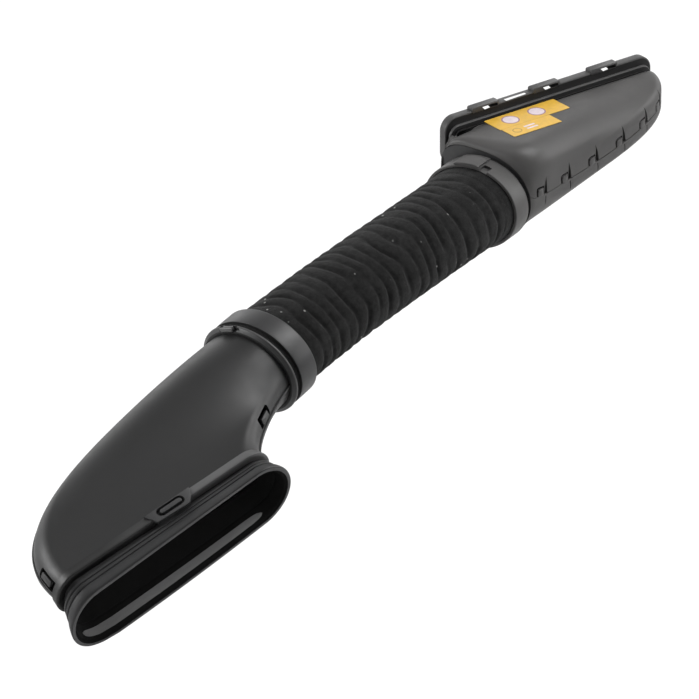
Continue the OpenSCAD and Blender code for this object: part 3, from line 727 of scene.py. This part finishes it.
# The hose is a little slimmer and lower at the snorkel than its solid
LOOK_SHIFT = Vector((0.2, -1.1, -1.1))
HOSE_A, HOSE_B = NECK.at(0, 0, SPIGOT_L + FIT), INLET.at(0, 0, HOSE_END)
HOSE_SPAN = (HOSE_B - HOSE_A).length


def hose_mid(s):
    return bend(HOSE_A, NECK.z * HOSE_SPAN, HOSE_B, INLET.z * HOSE_SPAN, s)


def hose_place(s):
    if s <= 0:
        d = NECK.z
    elif s >= 1:
        d = INLET.z
    else:
        d = (hose_mid(s + 0.005) - hose_mid(s - 0.005)).normalized()
    return Place(hose_mid(s), d.cross(Vector((0, 0, 1))).normalized(), d)


def rib_inset(around, i, steps):
    """How deep the felt lies at step i: ribs that wander round the hose, swell and fade, and creases."""
    k = i / HOSE_STEPS
    ends = min(1.0, k, (steps - i) / HOSE_STEPS)
    rib = k + noise.noise(around + Vector((0, 0, k * 0.3))) * RIB_WANDER * ends
    depth = 0.62 + 0.9 * noise.noise(around * 1.5 + Vector((7, 3, round(rib) * 0.9)))
    depth = min(max(depth, 0.12), 1.0)
    wave = math.cos(math.pi * rib) ** 2
    ends = min(1.0, i / 6, (steps - i) / 6)
    crease = 0.5 + 0.5 * noise.noise(around * 2.2 + Vector((2, 9, i * 0.1)))
    return RIB_D * depth * (RIB_CUT * wave ** 5 + RIB_WAVE * wave) * ends + CREASE * crease


def hose():
    """Felted hose: rib_inset's ribs in the middle, a plain cuff at each end, and a smooth bore."""
    steps = HOSE_RIBS * HOSE_STEPS
    start = (COLLAR_L - SPIGOT_L - FIT) / HOSE_SPAN
    end = 1 - (CUFF_L + HOSE_END) / HOSE_SPAN
    rows = []
    for i in range(-CUFF_STEPS, steps + CUFF_STEPS - 1):
        s = min(max(start + (end - start) * i / steps, 0.0), 1.0)
        place = hose_place(s)
        row = []
        for j in range(HOSE_AROUND):
            a = 2 * math.pi * j / HOSE_AROUND
            around = Vector((math.cos(a) * 1.3, math.sin(a) * 1.3, 0.0))
            inset = rib_inset(around, i, steps) if 0 < i < steps else 0.0
            inset += NAP * (1 + noise.noise(around * 9 + Vector((5, 1, i * 0.5))))
            inset += HOSE_SLIM * math.sin(math.pi / 2 * s) ** 0.8
            x, y = oval(HOSE_W - 2 * inset, HOSE_H - 2 * inset, j / HOSE_AROUND)
            row.append(place.at(x, y) + LOOK_SHIFT * s)
        rows.append(row)
    bore = 2 * (RIB_D + HOSE_WALL + 2.5)
    for k in range(BORE_STEPS, -1, -1):
        s = k / BORE_STEPS
        place = hose_place(s)
        ovals = [oval(HOSE_W - bore, HOSE_H - bore, j / HOSE_AROUND) for j in range(HOSE_AROUND)]
        rows.append([place.at(x, y) + LOOK_SHIFT * s for x, y in ovals])
    piece("fabric_hose_felt", grid(rows, close_around=True, close_along=True), HOSE_FELT, "hose_fabric",
          "fabric_hose", sharp=60)


def inlet_collar():
    """Band on the hose's cuff, with a raised tab and a notch beside it."""
    place = Place(INLET.o + LOOK_SHIFT, INLET.x, INLET.z)
    w, h = HOSE_W + 2 * (FIT + BAND_WALL) - BAND_SLIM, HOSE_H + 2 * (FIT + BAND_WALL) - BAND_SLIM
    to_neck, inside = -(w - NECK_W) / 2 + FIT, -BAND_WALL + 0.02
    front, back, stop = BAND_FRONT, BAND_L + BAND_BACK, HOSE_END + FIT
    loop = rounded([(front, 0, 0.9), (back, 0, 1.2), (back, to_neck, 0.3), (stop, to_neck, 0.2),
                    (stop, inside, 0.2), (front, inside, 0.4)])

    def line(t, u, z):
        return oval(w + 2 * t, h + 2 * t, u)

    kind = ("snorkel_plastic", "inlet_collar")
    band = piece("inlet_collar_band", ring(place, line, loop), SNORKEL_GREY, *kind)
    rows = []
    for i in range(BAND_TAB_STEPS + 1):
        u = BAND_TAB[0] + (BAND_TAB[1] - BAND_TAB[0]) * i / BAND_TAB_STEPS
        tip = min(1.0, i / 2, (BAND_TAB_STEPS - i) / 2)
        section = rounded([(-6, 0.4, 0.3), (-6, 1.8 + 0.6 * tip, 0.6), (9, 1.9 + 0.8 * tip, 0.7),
                           (back, 0.9, 0.4), (back, -0.5, 0.1), (-4, -0.5, 0.1)])
        rows.append([place.at(*line(t, u, z), z) for z, t in section])
    points, faces = grid(rows, close_around=True)
    k = len(rows[0])
    faces += [tuple(range(k)), tuple(BAND_TAB_STEPS * k + j for j in range(k))]
    piece("inlet_collar_tab", (points, faces), SNORKEL_GREY, *kind)
    x, y = oval(w, h, NOTCH_AT)
    out = (INLET.x * x / w ** 2 + INLET.y * y / h ** 2).normalized()
    at = Place(place.at(x, y, -1), INLET.z.cross(out), out)
    cut(band, [slab(at, box_outline(7, 10, 1.0), -2.2, 6)])


def snorkel_clip(p):
    """Window, tongue and line of one clip on the seam at p, and the dark wedge beside it."""
    r, h = CLIP_L / 2, CLIP_H
    tongue = [(r, -0.4), (r, h), (-r + 2.4, h), (-r + 0.7, h - 0.7), (-r, h - 2.4), (-r, -0.4)]
    window = [(x + (0.3 if x > 0 else -2.0), y + (2.0 if y > 0 else -1.6)) for x, y in tongue]
    k = r + WEDGE_SIDE
    wedge = [(k - 2.2, -2), (k + 1.9, -2), (k + 1.3, 8), (k + 0.2, 15.5), (k - 1.4, 8)]
    below = [(k - 0.5, -13), (k + 0.5, -13), (k + 0.5, -1.4), (k - 0.5, -1.4)]
    return ([slab(p, window, -5, 6), slab(p, wedge, -5, 6)], slab(p, below, -1.2, 6),
            slab(p, tongue, -SNORKEL_WALL, 0.1, 0.8))


def snorkel():
    """Two shells with a seam, D-shaped clip tongues, dark wedges and short lines below."""
    def dip(p):
        share = min(max(1 + ((p.o - FRONT.o).dot(FRONT.z) + FRAME_T + FIT) / DIP_REACH, 0.0), 1.0)
        return -DIP * share * share * (3 - 2 * share)

    def upper_side(x, s, p):
        return soft_edge(x, 0.6) - 1.3 * (x < 0.7) + dip(p)

    def lower_side(x, s, p):
        return soft_edge(x, 0.5) + dip(p)

    left, right = 0.5 + SEAM_SHARE, 1 - SEAM_SHARE
    # The shells' insides take the near-black painted shade.
    look = ([SNORKEL_GREY, INSIDE_PAINTED_SHADE], "snorkel_plastic")
    upper_wall = shell(snorkel_surface, -SEAM_SHARE, left, SNORKEL_WALL, 1, upper_side)
    lower_wall = shell(snorkel_surface, left, right, SNORKEL_WALL, 1, lower_side)
    upper = piece("snorkel_upper", upper_wall, *look, "snorkel_upper_shell", choose=inner_face)
    lower = piece("snorkel_lower", lower_wall, *look, "snorkel_lower_shell", choose=inner_face)
    windows, lines, tongues = [], [], []
    for i in range(CLIP_N):
        p = surface_place(snorkel_surface, right, CLIP_START + CLIP_STEP * i, 1)
        openings, below, tongue = snorkel_clip(p)
        windows += openings
        lines.append(below)
        tongues.append(tongue)
    cut(upper, windows)
    cut(lower, lines)
    piece("snorkel_tongues", joined(*tongues), SNORKEL_GREY, "snorkel_plastic", "snorkel_lower_shell")

    def plate_line(t, u, z):
        ax, ay = body_front(u, 1)
        bx, by = oval(NECK_W, NECK_H, u)
        return -(ax * 0.985) * (1 + t) + bx * t, ay * 0.985 * (1 + t) - by * t

    z0, z1 = BODY_START + 0.3, BODY_START + 0.3 + SNORKEL_WALL
    plate = [Vector(q) for q in ((z0, 0), (z1, 0), (z1, -1), (z0, -1))]
    both = ("snorkel_plastic", "snorkel_upper_shell", "snorkel_lower_shell")
    # The plate takes the carrier's darker grey: painted shade in the gap behind the collar.
    piece("snorkel_front_plate", ring(INLET, plate_line, plate, 160), CARRIER_GREY_AND_PLATE_SHADE, *both)
    start, end = HOSE_END + 2 * FIT, BODY_START + 2
    spigot = rounded([(start, 0, 0.2), (end, 0, 0), (end, -SNORKEL_WALL, 0), (start, -SNORKEL_WALL, 0.2)])
    # The spigot, seen through the gap, is painted shade.
    piece("snorkel_spigot", ring(INLET, neck_line, spigot, 120), GAP_PAINTED_SHADE, *both)


def frame_line(t, u, z):
    """Outline of the frame at z, its flange's in front and its sleeve's behind."""
    k = min(max(-z - FLANGE_T, 0.0), 1.0)
    l = FRAME_L + (BODY_END_L - FRAME_L) * k + 2 * t
    h = FRAME_H + (BODY_END_H - FRAME_H) * k + 2 * t
    x, y = round_rect(l, h, FRAME_R - FRAME_PROUD * k + t, u)
    return -x, y + BODY_END_UP * k


def inlet_frame():
    """Flange, ridge and sleeve round the inlet, with three windowed hooks and a slot on top; painted shade
    in the grooves either side of the ridge.
    """
    back, inside = -FLANGE_T, -FRAME_WALL - 0.6
    loop = rounded([(0, -FRAME_WALL - FRAME_PROUD, 0.5), (0, 0, 1.6), (back, 0, 0.9),
                    (back - 0.2, -3.4, 0.2), (back - 1.3, -1.6, 0.1), (back - 1.4, 1.7, 0.5),
                    (back - 3.6, 1.2, 0.6), (back - 3.8, -2.6, 0.2), (-FRAME_T, -2.7, 0.2),
                    (-FRAME_T, inside, 0.2), (back - 0.6, inside, 0.2)])
    # The grooves before and behind the ridge are painted shade.
    ridge_front, ridge_back = range(14, 25), range(34, 45)

    def zone(i):
        j = i % len(loop)
        return 1 if j in ridge_front or j in ridge_back else 0

    ring_piece = piece("inlet_frame_ring", ring(FRONT, frame_line, loop, 360), [FRAME_GREY, GAP_PAINTED_SHADE],
                       "frame_plastic", "inlet_frame", choose=zone)
    top, half, hooks = FRAME_H / 2, HOOK_L / 2, []
    for x in HOOK_AT:
        up = Place(FRONT.at(x, top, -4.6), FRONT.x, FRONT.y)
        outline = [(half, 3.8), (half - 2, 3.8), (-half + 2, 3.8), (-half, 3.0), (-half, -3.6), (half, -3.6)]
        hooks.append(slab(up, outline, -2.0, HOOK_H, 1.3))
    hook_piece = piece("inlet_frame_hooks", joined(*hooks), FRAME_GREY, "frame_plastic", "inlet_frame")
    way = view_way()
    level = (FRONT.x - way * FRONT.x.dot(way)).normalized()
    cuts = []
    for x, l, w, z in [(x, HOLE_L, HOLE_W, -8.4) for x in HOOK_AT] + [(SLOT_AT, SLOT_L, SLOT_W, -6.4)]:
        at = Place(FRONT.at(x, top, z), level, -way)
        outline = [(l / 2, -w / 2), (l / 2 - 1.5, w / 2), (-l / 2, w / 2 - 0.4), (-l / 2 + 1.2, -w / 2)]
        cuts.append(slab(at, outline, -34, 22))
    for x in HOOK_AT:
        at = Place(FRONT.at(x - 7.6, top, -8.0), level, -way)
        cuts.append(slab(at, box_outline(7.5, 2.2, 0.3), -4, 22))
    cut(ring_piece, cuts)
    cut(hook_piece, cuts)


def disc(x, y, r, count=32):
    turns = [2 * math.pi * k / count for k in range(count)]
    return [(x + r * math.cos(a), y + r * math.sin(a)) for a in turns]


def label(name, place, at, size, marks, node):
    """Yellow film with raised marks: (material, outline, height) each."""
    parts, kinds = [slab(place, box_outline(*size, 0.8, at), 0, LABEL_T)], [0]
    for kind, outline, z in marks:
        parts.append(slab(place, outline, LABEL_T - 0.05, LABEL_T + z))
        kinds.append(kind)
    owner = []
    for part, kind in zip(parts, kinds):
        owner += [kind] * len(part[1])
    piece(name, joined(*parts), [LABEL_YELLOW, LABEL_PALE, LABEL_VIOLET, LABEL_LINE], "label_film", node,
          choose=lambda i: owner[i])


def labels():
    """Two plain yellow labels: pale discs with a violet rim on one, two bars and a ring on the other."""
    mid = FRONT.at(LABEL_SIDE, 0, -LABEL_BACK)
    place = Place((mid.x, mid.y, TOP_Z + FIT / 4), -left_of(FRAME_TURN), (0, 0, 1))
    rim, plain = 0.02, 0.05
    discs = []
    for x in DISC_AT:
        discs += [(2, disc(x, 0, RIM_R), rim), (1, disc(x, 0, DISC_R), plain)]
    label("label_long_film", place, (0, 0), (LABEL_L, LABEL_W), discs, "label_long")
    x, y = (SHORT_L - LABEL_L) / 2 + 1, -(LABEL_W + SHORT_W) / 2 - FIT
    marks = [(1, box_outline(11, 2.2, 0.5, (x - 1, y + side * 2.2)), 0.03) for side in (1, -1)]
    marks += [(3, disc(x - 15, y, 4.2), rim), (0, disc(x - 15, y, 3.2), plain)]
    label("label_short_film", place, (x, y), (SHORT_L, SHORT_W), marks, "label_short")


def backdrop(scene):
    """World that lights from behind the object, and looks plain white to the camera."""
    world = bpy.data.worlds.new("studio")
    scene.world = world
    world.use_nodes = True
    t = world.node_tree
    out, back = t.nodes["World Output"], t.nodes["Background"]
    co = add(t, "ShaderNodeTexCoord").outputs["Generated"]
    a = math.radians(VIEW_AZIMUTH)
    away = add(t, "ShaderNodeVectorMath", {0: co}, operation="DOT_PRODUCT")
    away.inputs[1].default_value = (math.sin(a), math.cos(a), 0.0)
    behind = ramp(t, away.outputs["Value"], [(0.0, 0.16), (0.25, 0.5), (0.55, 1.0)])
    up = add(t, "ShaderNodeSeparateXYZ", {"Vector": co}).outputs["Z"]
    high = ramp(t, up, [(0.0, 1.0), (0.3, 0.8), (0.7, 0.26), (1.0, 0.2)])
    both = add(t, "ShaderNodeMix", data_type="RGBA", blend_type="MULTIPLY")
    both.inputs["Factor"].default_value = 1.0
    t.links.new(behind, both.inputs["A"])
    t.links.new(high, both.inputs["B"])
    t.links.new(both.outputs["Result"], back.inputs["Color"])
    back.inputs["Strength"].default_value = 1.75
    plain = add(t, "ShaderNodeBackground", Color=(1, 1, 1, 1), Strength=1.0)
    seen = add(t, "ShaderNodeLightPath")
    share = seen.outputs["Is Camera Ray"]
    mix = add(t, "ShaderNodeMixShader", {0: share, 1: back.outputs[0], 2: plain.outputs[0]})
    t.links.new(mix.outputs[0], out.inputs["Surface"])


def floor_sheet(scene):
    """Pale floor just under the part, which glows for the camera and keeps the shadow."""
    half, low = 8, cad_box[0][2] - 0.002
    corners = [(-half, -half, low), (half, -half, low), (half, half, low), (-half, half, low)]
    mesh = bpy.data.meshes.new("floor")
    mesh.from_pydata(corners, [], [(0, 1, 2, 3)])
    floor = bpy.data.objects.new("floor", mesh)
    scene.collection.objects.link(floor)
    m, t, b = node_tree("floor")
    b.inputs["Base Color"].default_value = (0.85, 0.85, 0.85, 1)
    b.inputs["Roughness"].default_value = 0.9
    glow = add(t, "ShaderNodeEmission", Color=(1, 1, 1, 1), Strength=1.12)
    path = add(t, "ShaderNodeLightPath")
    share = add(t, "ShaderNodeMath", {0: path.outputs["Is Camera Ray"]}, operation="MULTIPLY")
    share.inputs[1].default_value = 0.85
    mix = add(t, "ShaderNodeMixShader", {0: share.outputs[0], 1: b.outputs[0], 2: glow.outputs[0]})
    t.links.new(mix.outputs[0], t.nodes["Material Output"].inputs["Surface"])
    mesh.materials.append(m)


def softbox(scene, name, at, aim, size, power):
    light = bpy.data.lights.new(name, "AREA")
    light.shape, light.size, light.size_y, light.energy = "RECTANGLE", size[0], size[1], power
    obj = bpy.data.objects.new(name, light)
    obj.location = at
    obj.rotation_euler = (Vector(aim) - Vector(at)).to_track_quat("-Z", "Y").to_euler()
    scene.collection.objects.link(obj)


def camera(scene):
    """Camera at the photograph's angle."""
    look = view_way()
    a = math.radians(VIEW_AZIMUTH)
    right = Vector((math.cos(a), -math.sin(a), 0))
    up = right.cross(look)
    cam = bpy.data.cameras.new("camera")
    obj = bpy.data.objects.new("camera", cam)
    scene.collection.objects.link(obj)
    cam.sensor_fit, cam.sensor_width = "HORIZONTAL", 36.0
    cam.lens = 36.0 * VIEW_DISTANCE / MM_PER_PIXEL / IMAGE
    cam.clip_end = 100.0
    turn = Matrix((right, up, -look)).transposed().to_4x4()
    obj.matrix_world = Matrix.Translation((TARGET - look * VIEW_DISTANCE) * MM) @ turn
    scene.camera = obj


def studio():
    """Pale floor, soft tent of light, and the camera."""
    scene = bpy.context.scene
    backdrop(scene)
    floor_sheet(scene)
    middle = (0.3, 0.05, 0.1)
    softbox(scene, "left_softbox", (-1.4, 1.6, 0.9), middle, (1.8, 1.2), 12)
    softbox(scene, "right_softbox", (2.0, -1.2, 0.9), middle, (1.6, 1.0), 13)
    softbox(scene, "top_softbox", (0.1, -0.1, 2.4), middle, (2.2, 2.2), 12)
    softbox(scene, "neck_softbox", (0.75, -0.3, 1.0), (0.18, 0.05, 0.08), (0.5, 0.5), 5.5)
    softbox(scene, "corner_softbox", (-0.55, 0.85, 0.6), (-0.09, 0.06, 0.01), (0.45, 0.45), 6.5)
    camera(scene)
    scene.view_settings.view_transform = "Standard"


seal()
seal_highlight_strip()
carrier()
elbow()
outlet_collar()
hose()
inlet_collar()
snorkel()
inlet_frame()
labels()
studio()
